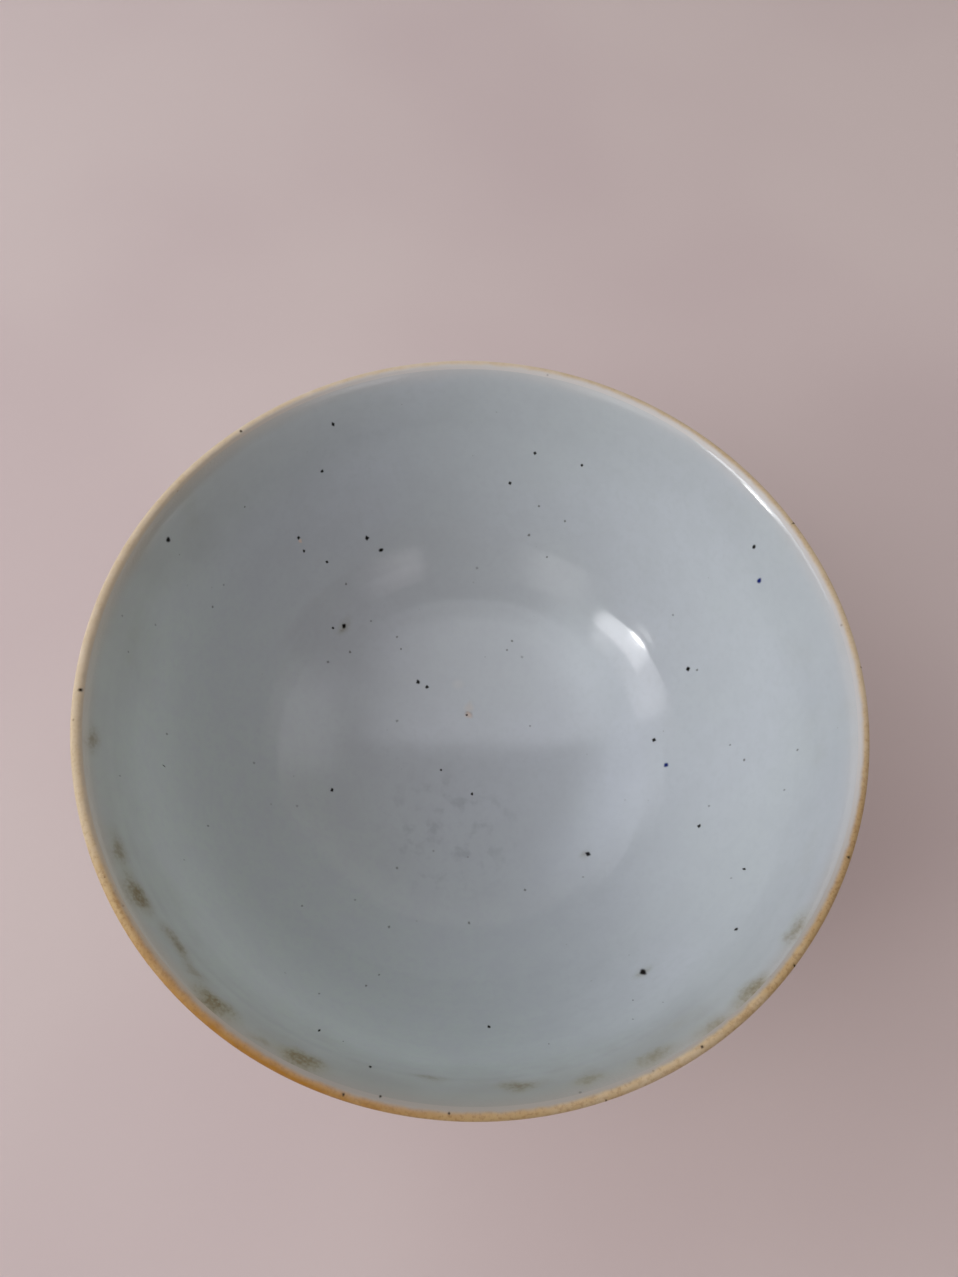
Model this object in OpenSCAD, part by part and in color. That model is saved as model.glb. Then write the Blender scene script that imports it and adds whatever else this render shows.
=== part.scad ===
// The bowl of a gaiwan: a thrown porcelain bowl with an everted lip, a turned foot ring,
// a glaze inside, outside and under the foot, and an iron dressing round the lip.
// Millimetres, +Z up, origin on the bowl's axis at the face that it stands on.
// Every solid is a profile turned about the axis. A profile is a list of stations, and
// a station is [point, unit normal pointing out of the clay, thickness of what covers it there].

/* [Bowl] */
// Diameter across the outer edge of the finished lip
rim_d = 110; // [96:1:124]
// Depth inside, from the top of the lip to the middle of the well
inside_depth = 46; // [40:0.5:54]
// Height of the flared lip
lip_h = 6.5; // [5:0.5:10]
// How far the lip flares out beyond the throat below it
lip_flare = 3; // [2.4:0.1:4.5]
// Slope of the wall at the throat, in degrees from level
throat_slope = 78; // [74:1:84]
// Slope of the wall at the lip, in degrees from level
lip_slope = 42; // [34:1:60]
// How far the level well pulls the inside curve out from the axis
well_pull = 34; // [28:0.5:38]
// How far the steep wall pulls the inside curve down from the throat
wall_pull = 18; // [12:0.5:24]

/* [Clay] */
// Thickness of the clay in the middle of the well
floor_t = 3.4; // [2.4:0.1:5]
// Thickness of the clay wall where it leaves the foot
wall_t = 2.6; // [1.8:0.1:3.6]
// Thickness of the clay at the lip
lip_t = 1.2; // [0.8:0.1:1.8]

/* [Foot] */
// Outside diameter of the foot ring, in bare clay
foot_d = 43; // [38:0.5:50]
// Thickness of the foot ring at its root
foot_w = 4.2; // [3.4:0.1:5.5]
// Depth of the hollow under the bowl, in bare clay
recess_depth = 5.5; // [4.8:0.1:7]
// Width of the flat face that the bowl stands on
rest_w = 1.4; // [0.8:0.1:2]
// Height of the slopes on both sides of the resting face
edge_h = 0.7; // [0.4:0.1:1]
// Lean of the foot ring's inner wall, in degrees from upright
inner_lean = 6; // [0:1:10]
// Radius of the hollow turned between the foot ring and the wall
heel_r = 2.4; // [1.2:0.2:4]
// Radius in the corner under the bowl
recess_r = 1.6; // [0.8:0.1:2.4]

/* [Glaze] */
// Thickness of the glaze inside the bowl
inside_glaze_t = 0.35; // [0.25:0.05:0.6]
// Thickness of the glaze outside the bowl
outside_glaze_t = 0.35; // [0.25:0.05:0.6]
// Thickness of the glaze under the bowl
base_glaze_t = 0.3; // [0.2:0.05:0.5]
// Height of the bare clay that the potter wiped clean above the resting face
wiped_h = 1.6; // [1.2:0.1:2.2]
// Length over which the glaze thins out towards the lip
thinning = 6; // [3:0.5:9]

/* [Lip dressing] */
// Thickness of the iron dressing
dressing_t = 0.2; // [0.1:0.05:0.25]
// How far the dressing reaches down the inside of the lip
dressing_in = 0.4; // [0.2:0.1:1.5]
// How far the dressing reaches down the outside of the lip
dressing_out = 1; // [0.2:0.1:1.5]

/* [Hidden] */
$fn = 96;

porcelain_color = "#d9d3c4";
glaze_color = "#b9c9cb";
dressing_color = "#b98a4c";

// Steps along the well and wall, the flared lip, the lip's round edge and a turned corner
bowl_steps = 36;
flare_steps = 12;
edge_steps = 10;
corner_steps = 8;

// Heights, from the resting face up
floor_z = recess_depth + floor_t + inside_glaze_t;
rim_z = floor_z + inside_depth;
throat_z = rim_z - lip_h;

// The round edge of the lip: the clay's own radius, and the dressed one
lip_clay_r = lip_t / 2;
lip_r = lip_clay_r + dressing_t;
lip_centre = [rim_d / 2 - lip_r, rim_z - lip_r];

// Foot ring radii
foot_r = foot_d / 2;
root_r = foot_r - foot_w;

// Unit vector at an angle, and the normal that points out of the cavity at a slope
function ray(angle) = [cos(angle), sin(angle)];
function cavity_normal(slope) = [sin(slope), -cos(slope)];

// Point and slope on a cubic curve through four control points
function curve_point(c, t) =
    pow(1 - t, 3) * c[0] + 3 * pow(1 - t, 2) * t * c[1] + 3 * (1 - t) * t * t * c[2] + pow(t, 3) * c[3];
function curve_run(c, t) =
    pow(1 - t, 2) * (c[1] - c[0]) + 2 * (1 - t) * t * (c[2] - c[1]) + t * t * (c[3] - c[2]);
function curve_slope(c, t) = let (run = curve_run(c, t)) atan2(run[1], run[0]);

// The inside of the bowl, as it is seen: the well and wall, then the flared lip
lip_start = lip_centre - lip_r * cavity_normal(lip_slope);
throat = [lip_start[0] - lip_flare, throat_z];
flare_pull = norm(lip_start - throat) / 3;
bowl_curve = [[0, floor_z], [well_pull, floor_z], throat - wall_pull * ray(throat_slope), throat];
flare_curve = [throat, throat + flare_pull * ray(throat_slope), lip_start - flare_pull * ray(lip_slope), lip_start];

// A coat of glaze keeps its thickness, and thins to the dressing's where that ends near the lip
function coat_t(t, reach, p) =
    dressing_t + (t - dressing_t) * min(1, max(0, norm(lip_start - p) - reach) / thinning);

// The clay tapers from the well up to the lip
function clay(p) = lip_t + (wall_t - lip_t) * (lip_start[1] - p[1]) / (lip_start[1] - floor_z);

// Inside stations: the point on the clay, its normal into the cavity, the coat on it
function inside_station(c, t) =
    let (seen = curve_point(c, t), out = cavity_normal(curve_slope(c, t)))
    let (t_in = coat_t(inside_glaze_t, dressing_in, seen))
    [seen + t_in * out, -out, t_in];

// Outside stations face the inside ones through the clay
function outside_station(c, t) =
    let (seen = curve_point(c, t), inside = inside_station(c, t))
    [inside[0] - clay(seen) * inside[1], -inside[1], coat_t(outside_glaze_t, dressing_out, seen)];

// Where the dressing ends on the flared lip, as a share of that curve
dress_in_at = 1 - dressing_in / norm(lip_start - throat);
dress_out_at = 1 - dressing_out / norm(lip_start - throat);

inside_path = concat(
    [for (i = [0:bowl_steps]) inside_station(bowl_curve, i / bowl_steps)],
    [for (i = [1:flare_steps]) inside_station(flare_curve, dress_in_at * i / flare_steps)]);

// The foot's hollow corner touches the outside of the wall and the side of the foot ring:
// its centre lies one radius out from both
function heel_centre(t) = let (s = outside_station(bowl_curve, t)) s[0] + heel_r * s[1];
heel_at = lookup(foot_r + heel_r,
    [for (i = [0:4 * bowl_steps]) [heel_centre(i / (4 * bowl_steps))[0], i / (4 * bowl_steps)]]);
heel_c = [foot_r + heel_r, heel_centre(heel_at)[1]];
heel_end = curve_slope(bowl_curve, heel_at) + 90;

outside_path = concat(
    [[[foot_r, wiped_h], [1, 0], outside_glaze_t]],
    [for (i = [0:corner_steps])
        let (a = 180 + (heel_end - 180) * i / corner_steps)
        [heel_c + heel_r * ray(a), -ray(a), outside_glaze_t]],
    [for (i = [1:bowl_steps]) let (t = heel_at + (1 - heel_at) * i / bowl_steps) outside_station(bowl_curve, t)],
    [for (i = [1:flare_steps]) outside_station(flare_curve, dress_out_at * i / flare_steps)]);

// The dressed stretch of the lip, from inside over the round edge to outside
lip_path = concat(
    [inside_station(flare_curve, dress_in_at)],
    [for (i = [0:edge_steps])
        let (a = lip_slope + 90 - 180 * i / edge_steps)
        [lip_centre + lip_clay_r * ray(a), ray(a), dressing_t]],
    [outside_station(flare_curve, dress_out_at)]);

// Under the bowl: out along the base, round the corner, down the foot ring's inner wall,
// which leans out so that the ring is widest at its root
function inner_wall_r(z) = root_r + (recess_depth - z) * tan(inner_lean);
corner_c = [root_r - recess_r * (1 - sin(inner_lean)) / cos(inner_lean), recess_depth - recess_r];
base_path = concat(
    [[[0, recess_depth], [0, -1], base_glaze_t]],
    [for (i = [0:corner_steps])
        let (a = 90 - (90 - inner_lean) * i / corner_steps)
        [corner_c + recess_r * ray(a), -ray(a), base_glaze_t]],
    [[[inner_wall_r(wiped_h), wiped_h], -ray(inner_lean), base_glaze_t]]);

// The foot's standing edge in bare clay, from inside to outside
edge_slack = foot_r - inner_wall_r(edge_h) - rest_w;
foot_edge = [
    [inner_wall_r(edge_h), edge_h],
    [inner_wall_r(edge_h) + edge_slack / 2, 0],
    [foot_r - edge_slack / 2, 0],
    [foot_r, edge_h]];

// Points of a path, on the clay or on top of its layer, and a path walked backwards
function clay_side(path) = [for (s = path) s[0]];
function seen_side(path) = [for (s = path) s[0] + s[2] * s[1]];
function back(list) = [for (i = [len(list) - 1:-1:0]) list[i]];
function after_first(list) = [for (i = [1:len(list) - 1]) list[i]];

module turned(outline) {
    rotate_extrude() polygon(outline);
}

// A layer that covers a stretch of the clay
module coat(path) {
    turned(concat(clay_side(path), back(seen_side(path))));
}

// The thrown and turned clay, from the well over the lip, down the wall and under the foot
module porcelain_body() {
    color(porcelain_color)
        turned(concat(
            clay_side(inside_path),
            after_first(clay_side(lip_path)),
            after_first(back(clay_side(outside_path))),
            back(foot_edge),
            back(clay_side(base_path))));
}

// The glaze that is seen from above
module inside_glaze() {
    color(glaze_color) coat(inside_path);
}

// The glaze on the outside, from the wiped foot up to the dressing
module outside_glaze() {
    color(glaze_color) coat(outside_path);
}

// The glaze in the hollow under the bowl
module base_glaze() {
    color(glaze_color) coat(base_path);
}

// The iron wash on the lip
module rim_dressing() {
    color(dressing_color) coat(lip_path);
}

porcelain_body();
inside_glaze();
outside_glaze();
base_glaze();
rim_dressing();
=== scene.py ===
# Gaiwan bowl: the finish of its clay, its glazes and its dressed lip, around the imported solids
import math
import random
from types import SimpleNamespace

import bpy
import numpy as np
from mathutils import Matrix, Quaternion, Vector


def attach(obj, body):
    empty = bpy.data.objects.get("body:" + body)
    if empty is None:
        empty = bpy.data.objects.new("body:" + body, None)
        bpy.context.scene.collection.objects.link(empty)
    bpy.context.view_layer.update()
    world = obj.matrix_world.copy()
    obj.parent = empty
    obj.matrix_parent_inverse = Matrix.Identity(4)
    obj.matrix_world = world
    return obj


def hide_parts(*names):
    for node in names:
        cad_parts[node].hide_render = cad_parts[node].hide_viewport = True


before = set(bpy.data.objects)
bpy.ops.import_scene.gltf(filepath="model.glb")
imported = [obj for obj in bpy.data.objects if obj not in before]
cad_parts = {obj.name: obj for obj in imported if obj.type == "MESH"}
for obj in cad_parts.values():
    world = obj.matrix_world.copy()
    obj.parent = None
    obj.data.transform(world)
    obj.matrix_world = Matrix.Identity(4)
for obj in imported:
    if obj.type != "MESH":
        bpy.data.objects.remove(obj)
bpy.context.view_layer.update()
scene = bpy.context.scene
mm = 0.001
print("frame loaded:", ", ".join(sorted(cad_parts)))


# The bowl's shape, in millimetres and degrees, as the solids have it
bowl = SimpleNamespace(
    rimDiameter=110.0,
    insideDepth=46.0,
    lipHeight=6.5,
    lipFlare=3.0,
    throatSlope=78.0,
    lipSlope=42.0,
    wellPull=34.0,
    wallPull=18.0,
    floorThick=3.4,
    wallThick=2.6,
    lipThick=1.2,
    footDiameter=43.0,
    footWidth=4.2,
    recessDepth=5.5,
    restWidth=1.4,
    edgeHeight=0.7,
    innerLean=6.0,
    heelRadius=2.4,
    recessRadius=1.6,
    insideGlaze=0.35,
    outsideGlaze=0.35,
    baseGlaze=0.3,
    wipedHeight=1.6,
    thinning=6.0,
    dressing=0.2,
    dressingIn=0.4,
    dressingOut=1.0,
)

# How finely the profiles are stepped and turned, and how finely a sight line is searched
meshSteps = SimpleNamespace(
    bowl=110, flare=26, edge=18, corner=12, wall=10, short=4, around=256, sight=3000, overLip=6
)

# How the bend at the throat is eased: over how many millimetres, and how many times that to its sides
throatEase = SimpleNamespace(reach=2.4, sides=1.6)

# What the potter's hand left: slow swings of the rim and fine throwing lines, in millimetres
# A swing is (count, share, phase); it counts waves round the bowl, or half waves in a line's gap
hand = SimpleNamespace(
    rimLift=0.16,
    liftSwings=((2, 1.0, 0.6), (3, 0.5, 2.1)),
    outOfRound=0.14,
    roundSwings=((2, 1.0, 2.4), (5, 0.4, 0.5)),
    lineHeight=0.010,
    lineGap=4.6,
    lineClimb=0.8,
    lineTwist=1.0,
    lineSwings=((2.0, 1.0, 0), (3.7, 0.5, 1)),
    lineStart=0.5,
    lineFadeLow=6,
    lineFadeHigh=4,
    lineDip=0.6,
)

floorZ = bowl.recessDepth + bowl.floorThick + bowl.insideGlaze
rimZ = floorZ + bowl.insideDepth
rimRadius = bowl.rimDiameter / 2
lipClayRadius = bowl.lipThick / 2
lipRadius = lipClayRadius + bowl.dressing
footRadius = bowl.footDiameter / 2


def ray(angle):
    return np.array([math.cos(math.radians(angle)), math.sin(math.radians(angle))])


def outOfCavity(slope):
    return np.array([math.sin(math.radians(slope)), -math.cos(math.radians(slope))])


def curvePoint(c, t):
    return (1 - t) ** 3 * c[0] + 3 * (1 - t) ** 2 * t * c[1] + 3 * (1 - t) * t * t * c[2] + t ** 3 * c[3]


def curveSlope(c, t):
    run = (1 - t) ** 2 * (c[1] - c[0]) + 2 * (1 - t) * t * (c[2] - c[1]) + t * t * (c[3] - c[2])
    return math.degrees(math.atan2(run[1], run[0]))


# The inside as it is seen: well and wall, then the flared lip
lipCentre = np.array([rimRadius - lipRadius, rimZ - lipRadius])
lipStart = lipCentre - lipRadius * outOfCavity(bowl.lipSlope)
throat = np.array([lipStart[0] - bowl.lipFlare, rimZ - bowl.lipHeight])
flareLength = np.linalg.norm(lipStart - throat)
bowlCurve = [
    np.array([0.0, floorZ]),
    np.array([bowl.wellPull, floorZ]),
    throat - bowl.wallPull * ray(bowl.throatSlope),
    throat,
]
flareCurve = [
    throat,
    throat + flareLength / 3 * ray(bowl.throatSlope),
    lipStart - flareLength / 3 * ray(bowl.lipSlope),
    lipStart,
]


# A coat of glaze thins to the dressing's thickness where that ends near the lip
def coatThickness(full, reach, seen):
    share = max(0.0, np.linalg.norm(lipStart - seen) - reach) / bowl.thinning
    return bowl.dressing + (full - bowl.dressing) * min(1.0, share)


# A station is (point on the clay, normal out of the clay, thickness of the coat on it)
def insideStation(curve, t):
    seen = curvePoint(curve, t)
    out = outOfCavity(curveSlope(curve, t))
    coat = coatThickness(bowl.insideGlaze, bowl.dressingIn, seen)
    return seen + coat * out, -out, coat


def outsideStation(curve, t):
    seen = curvePoint(curve, t)
    point, normal, coat = insideStation(curve, t)
    taper = (lipStart[1] - seen[1]) / (lipStart[1] - floorZ)
    through = bowl.lipThick + (bowl.wallThick - bowl.lipThick) * taper
    coat = coatThickness(bowl.outsideGlaze, bowl.dressingOut, seen)
    return point - through * normal, -normal, coat


def steps(count, start=0):
    return [i / count for i in range(start, count + 1)]


# Distance along a run of points
def alongRun(points):
    return np.concatenate([[0.0], np.cumsum(np.linalg.norm(np.diff(points, axis=0), axis=1))])


# Eases the bend where the flared lip leaves the wall, so that no line shows there
def easeThroat(stations, index):
    points = np.array([s[0] for s in stations])
    normals = np.array([s[1] for s in stations])
    coats = [s[2] for s in stations]
    along = alongRun(points)
    spacing = np.gradient(along)
    reach = throatEase.reach
    made = []
    for point, normal, coat, place in zip(points, normals, coats, along):
        near = np.exp(-((along - place) / reach) ** 2 / 2) * spacing
        near = near / near.sum()
        share = math.exp(-(((place - along[index]) / (throatEase.sides * reach)) ** 4))
        normal = normal + share * (near @ normals - normal)
        made.append((point + share * (near @ points - point), normal / np.linalg.norm(normal), coat))
    return made


def insideStations():
    dressEnd = 1 - bowl.dressingIn / flareLength
    made = [insideStation(bowlCurve, t) for t in steps(meshSteps.bowl)]
    made += [insideStation(flareCurve, dressEnd * t) for t in steps(meshSteps.flare, 1)]
    return easeThroat(made, meshSteps.bowl)


def lipStations():
    slope = bowl.lipSlope
    made = [insideStation(flareCurve, 1 - bowl.dressingIn / flareLength)]
    for t in steps(meshSteps.edge):
        way = ray(slope + 90 - 180 * t)
        made.append((lipCentre + lipClayRadius * way, way, bowl.dressing))
    reach = bowl.dressingOut / flareLength
    return made + [outsideStation(flareCurve, 1 - reach * t) for t in steps(meshSteps.short, 1)]


# The hollow heel touches the wall and the foot ring, so its centre is one radius out from both
def heelCentre(t):
    point, normal, coat = outsideStation(bowlCurve, t)
    return point + bowl.heelRadius * normal


def heelShare():
    low, high = 0.0, 1.0
    for halving in range(40):
        middle = (low + high) / 2
        if heelCentre(middle)[0] < footRadius + bowl.heelRadius:
            low = middle
        else:
            high = middle
    return low


def outsideStations():
    coat = bowl.outsideGlaze
    touch = heelShare()
    centre = heelCentre(touch)
    turn = curveSlope(bowlCurve, touch) + 90
    made = []
    for t in steps(meshSteps.wall)[:-1]:
        z = bowl.wipedHeight + t * (centre[1] - bowl.wipedHeight)
        made.append((np.array([footRadius, z]), np.array([1.0, 0.0]), coat))
    for t in steps(meshSteps.corner):
        way = ray(180 + (turn - 180) * t)
        made.append((centre + bowl.heelRadius * way, -way, coat))
    made += [outsideStation(bowlCurve, touch + (1 - touch) * t) for t in steps(meshSteps.bowl, 1)]
    dressEnd = 1 - bowl.dressingOut / flareLength
    return made + [outsideStation(flareCurve, dressEnd * t) for t in steps(meshSteps.flare, 1)]


def innerWallRadius(z):
    root = footRadius - bowl.footWidth
    return root + (bowl.recessDepth - z) * math.tan(math.radians(bowl.innerLean))


def baseStations():
    lean = math.radians(bowl.innerLean)
    coat = bowl.baseGlaze
    inset = bowl.recessRadius * (1 - math.sin(lean)) / math.cos(lean)
    root = footRadius - bowl.footWidth
    centre = np.array([root - inset, bowl.recessDepth - bowl.recessRadius])
    made = []
    for t in steps(meshSteps.wall)[:-1]:
        made.append((np.array([centre[0] * t, bowl.recessDepth]), np.array([0.0, -1.0]), coat))
    for t in steps(meshSteps.corner):
        way = ray(90 - (90 - bowl.innerLean) * t)
        made.append((centre + bowl.recessRadius * way, -way, coat))
    wallTop = made[-1][0]
    for t in steps(meshSteps.short, 1):
        z = wallTop[1] + t * (bowl.wipedHeight - wallTop[1])
        made.append((np.array([innerWallRadius(z), z]), -ray(bowl.innerLean), coat))
    return made


# The bare standing edge of the foot, inside to outside
def standingEdge():
    height = bowl.edgeHeight
    inner = innerWallRadius(height)
    slack = (footRadius - inner - bowl.restWidth) / 2
    corners = [(inner, height), (inner + slack, 0), (footRadius - slack, 0), (footRadius, height)]
    return [np.array(c, float) for c in corners]


def claySide(stations):
    return [s[0] for s in stations]


def seenSide(stations):
    return [s[0] + s[2] * s[1] for s in stations]


def swings(waves, angle):
    return sum(share * np.sin(count * angle + phase) for count, share, phase in waves)


# Moves points, in millimetres, the way a hand-made bowl departs from a turned one
def byHand(points):
    x, y, z = points[:, 0], points[:, 1], points[:, 2]
    radius = np.hypot(x, y)
    angle = np.arctan2(y, x)
    height = np.clip((z - floorZ) / (rimZ - floorZ), 0, 1)
    lift = hand.rimLift * height ** 2 * swings(hand.liftSwings, angle)
    spread = hand.outOfRound * height ** 2 * swings(hand.roundSwings, angle)
    upWall = radius + hand.lineClimb * (z - floorZ)  # about the distance up the wall
    along = upWall / hand.lineGap + hand.lineTwist * angle / (2 * math.pi)
    fade = np.clip((z - floorZ - hand.lineStart) / hand.lineFadeLow, 0, 1)
    fade *= np.clip((rimZ - z) / hand.lineFadeHigh, 0, 1)
    line = hand.lineHeight * fade * swings(hand.lineSwings, math.pi * along)
    moved = points.copy()
    grow = (spread + line) / np.maximum(radius, 1.0)
    moved[:, 0] += x * grow
    moved[:, 1] += y * grow
    moved[:, 2] += lift - hand.lineDip * line
    return moved


def makeObject(name, points, faces, sharpAngle=50):
    mesh = bpy.data.meshes.new(name)
    mesh.from_pydata([tuple(p) for p in byHand(np.array(points)) * mm], [], faces)
    mesh.update()
    mesh.polygons.foreach_set("use_smooth", [True] * len(mesh.polygons))
    mesh.set_sharp_from_angle(angle=math.radians(sharpAngle))
    made = bpy.data.objects.new(name, mesh)
    scene.collection.objects.link(made)
    return made


# Turns an outline of (radius, height) points about the axis; a closed one also joins its ends
def turned(name, outline, closed):
    around = meshSteps.around
    points, rings, faces = [], [], []
    for radius, z in outline:
        onAxis = radius < 1e-6
        first = len(points)
        rings.append([first] * around if onAxis else list(range(first, first + around)))
        for k in range(1 if onAxis else around):
            turn = 2 * math.pi * k / around
            points.append((radius * math.cos(turn), radius * math.sin(turn), z))
    pairs = list(zip(rings, rings[1:]))
    if closed:
        pairs.append((rings[-1], rings[0]))
    for low, high in pairs:
        for k in range(around):
            n = (k + 1) % around
            corners = [low[k], high[k], high[n], low[n]]
            faces.append(list(dict.fromkeys(corners)))
    return makeObject(name, points, faces)


def coat(name, stations, closed):
    return turned(name, claySide(stations) + seenSide(stations)[::-1], closed)


insideRun = insideStations()
lipRun = lipStations()
outsideRun = outsideStations()
baseRun = baseStations()

clayOutline = claySide(insideRun) + claySide(lipRun)[1:] + claySide(outsideRun)[::-1][1:]
clayOutline += standingEdge()[::-1] + claySide(baseRun)[::-1]

clayBody = turned("clayBody", clayOutline, False)
insideGlaze = coat("insideGlaze", insideRun, False)
outsideGlaze = coat("outsideGlaze", outsideRun, True)
baseGlaze = coat("baseGlaze", baseRun, False)
rimDressing = coat("rimDressing", lipRun, True)
print("turned pieces: clay, three glazes and the lip's dressing")


# The camera, in millimetres and degrees, at the photograph's viewing angle
cameraSet = SimpleNamespace(
    place=(-4.61, -46.32, rimZ + 130.82),
    aim=(0.5, 6.83, rimZ),
    roll=-5.92,
    focalPixels=1000.0,
    framePixels=(958, 1277),
    sensor=36.0,
    clipStart=0.01,
)


def makeCamera():
    data = bpy.data.cameras.new("camera")
    data.sensor_width = cameraSet.sensor
    data.lens = cameraSet.sensor * cameraSet.focalPixels / max(cameraSet.framePixels)
    data.clip_start = cameraSet.clipStart
    made = bpy.data.objects.new("camera", data)
    place = Vector(cameraSet.place) * mm
    way = Vector(cameraSet.aim) * mm - place
    roll = Matrix.Rotation(math.radians(-cameraSet.roll), 3, "Z")
    turn = way.to_track_quat("-Z", "Y").to_matrix() @ roll
    made.matrix_world = Matrix.Translation(place) @ turn.to_4x4()
    scene.collection.objects.link(made)
    scene.camera = made
    return made


camera = makeCamera()


# The sight line through a pixel of the photograph, as (start, unit direction) in millimetres
def sightLine(pixelX, pixelY):
    wide, tall = cameraSet.framePixels
    focal = cameraSet.focalPixels
    local = Vector(((pixelX - wide / 2) / focal, (tall / 2 - pixelY) / focal, -1))
    way = (camera.matrix_world.to_3x3() @ local).normalized()
    return np.array(camera.matrix_world.translation) / mm, np.array(way)


# The seen inside from the middle of the well over the lip, by distance along it
seenRun = np.array(seenSide(insideRun) + seenSide(lipRun)[1:])
seenNormals = np.array([s[1] for s in insideRun + lipRun[1:]])
seenAlong = alongRun(seenRun)
insideCount = len(insideRun)
topCount = int(np.argmax(seenRun[:, 1])) + 1


# Radius and height of the seen run at a distance along it, and its normal
def seenAt(along):
    return [np.interp(along, seenAlong, column) for column in (*seenRun.T, *seenNormals.T)]


# Where a sight line meets the inside: (distance along the seen run, angle, distance from the camera)
def onInside(pixelX, pixelY):
    start, way = sightLine(pixelX, pixelY)
    bottom = floorZ - 1  # just below the well
    reach = np.linspace((rimZ - start[2]) / way[2], (bottom - start[2]) / way[2], meshSteps.sight)
    points = start + np.outer(reach, way)
    radius = np.hypot(points[:, 0], points[:, 1])
    wall = np.interp(points[:, 2], seenRun[:topCount, 1], seenRun[:topCount, 0])
    first = int(np.argmax((radius >= wall) | (points[:, 2] <= floorZ)))
    point = points[first]
    if first == 0:  # on top of the lip, where the sight line crosses the rim's plane
        lip = slice(insideCount - 1, topCount + meshSteps.overLip)
        along = np.interp(radius[0], seenRun[lip, 0], seenAlong[lip])
    else:
        along = np.interp(radius[first], seenRun[:topCount, 0], seenAlong[:topCount])
    return along, math.atan2(point[1], point[0]), reach[first]


def pixelSize(distance):
    return distance / cameraSet.focalPixels


# How much of a length up the wall is seen from the camera, where the wall is seen aslant
def seenShare(spot, along, angle):
    way = sightLine(spot[0], spot[1])[1]
    outward, upward = seenAt(along)[2:]
    upWall = np.array([upward * math.cos(angle), upward * math.sin(angle), -outward])
    least = 0.4  # where the wall is seen edge-on
    return max(least, math.sqrt(max(0.0, 1 - (upWall @ way) ** 2)))


# Marks in the glaze, as (x, y, width) in pixels of the photograph; the faint ones' widths are drawn
specks = SimpleNamespace(
    iron=[
        (643, 972, 9), (169, 540, 6), (367, 538, 5), (381, 550, 5), (344, 626, 5), (418, 682, 4.5),
        (427, 687, 4), (588, 854, 5.5), (736, 929, 5), (754, 547, 5), (688, 669, 5), (654, 740, 4.5),
        (699, 826, 4.5), (489, 1027, 4.5), (370, 1068, 5), (319, 1031, 4.5), (333, 424, 4.5),
        (322, 471, 4), (510, 483, 4), (535, 453, 4), (582, 465, 3.5), (744, 869, 4), (332, 790, 4),
        (472, 794, 3.2), (298.6, 537.8, 4), (304, 551, 3.4), (327, 562, 3.4), (333, 628, 3),
        (441, 770, 2.6),
    ],
    faint=[
        (245, 507), (346, 584), (213, 607), (224, 585), (123, 616), (156, 625), (129, 652), (371, 621),
        (397, 637), (401, 649), (350, 652), (328, 662), (397, 721), (167, 734), (477, 568), (539, 506),
        (565, 521), (529, 535), (547, 557), (530, 726), (512, 641), (507, 650), (522, 657), (673, 615),
        (697, 670), (120, 776), (254, 763), (297, 806), (397, 868), (208, 826), (184, 860), (302, 906),
        (355, 900), (389, 927), (469, 923), (366, 986), (379, 975), (319, 994), (343, 1042),
        (583, 877), (525, 890), (731, 878), (709, 806), (663, 1002), (633, 1000), (633, 1019),
        (549, 1044), (784, 790), (797, 750), (730, 745), (744, 760),
    ],
    faintWidth=(2.4, 3.7),
    faintStrength=(0.45, 0.9),
    ironStretch=(0.8, 1.3),
    cobalt=[(759, 581, 6.5), (666, 765, 5.5)],
    dash=[(164, 766, 3)],
    lip=[
        (81, 690, 5), (241, 431, 3.5), (794, 523, 4), (861, 667, 3), (848, 857, 4), (795, 965, 4),
        (702, 1046, 3.5), (607, 1101, 3), (449, 1115, 3), (380, 1098, 3.5), (343, 1096, 3.5),
    ],
    ironColor=(0.007, 0.005, 0.004),
    faintColor=(0.09, 0.085, 0.075),
    cobaltColor=(0.004, 0.013, 0.12),
    lipColor=(0.03, 0.016, 0.008),
    height=0.02,
    lift=0.006,
    halfWidth=0.58,
    wobble=0.13,
    fade=1.3,
    rings=5,
    around=16,
)

# Kiln grit stuck in the well, a pale smear beside it and a chip on the far wall
gritSpots = SimpleNamespace(
    grit=(468.5, 714.5, 9),
    gritDot=(467, 715, 4),
    flake=(469, 708, 13),
    smear=(458, 684, 13),
    chip=(300.3, 541, 4.5),
    gritColor=(0.70, 0.56, 0.46),
    dotColor=(0.06, 0.03, 0.02),
    paleColor=(0.66, 0.63, 0.59),
    height=0.12,
    dotHeight=0.15,
)

markRandom = random.Random(11)


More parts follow.
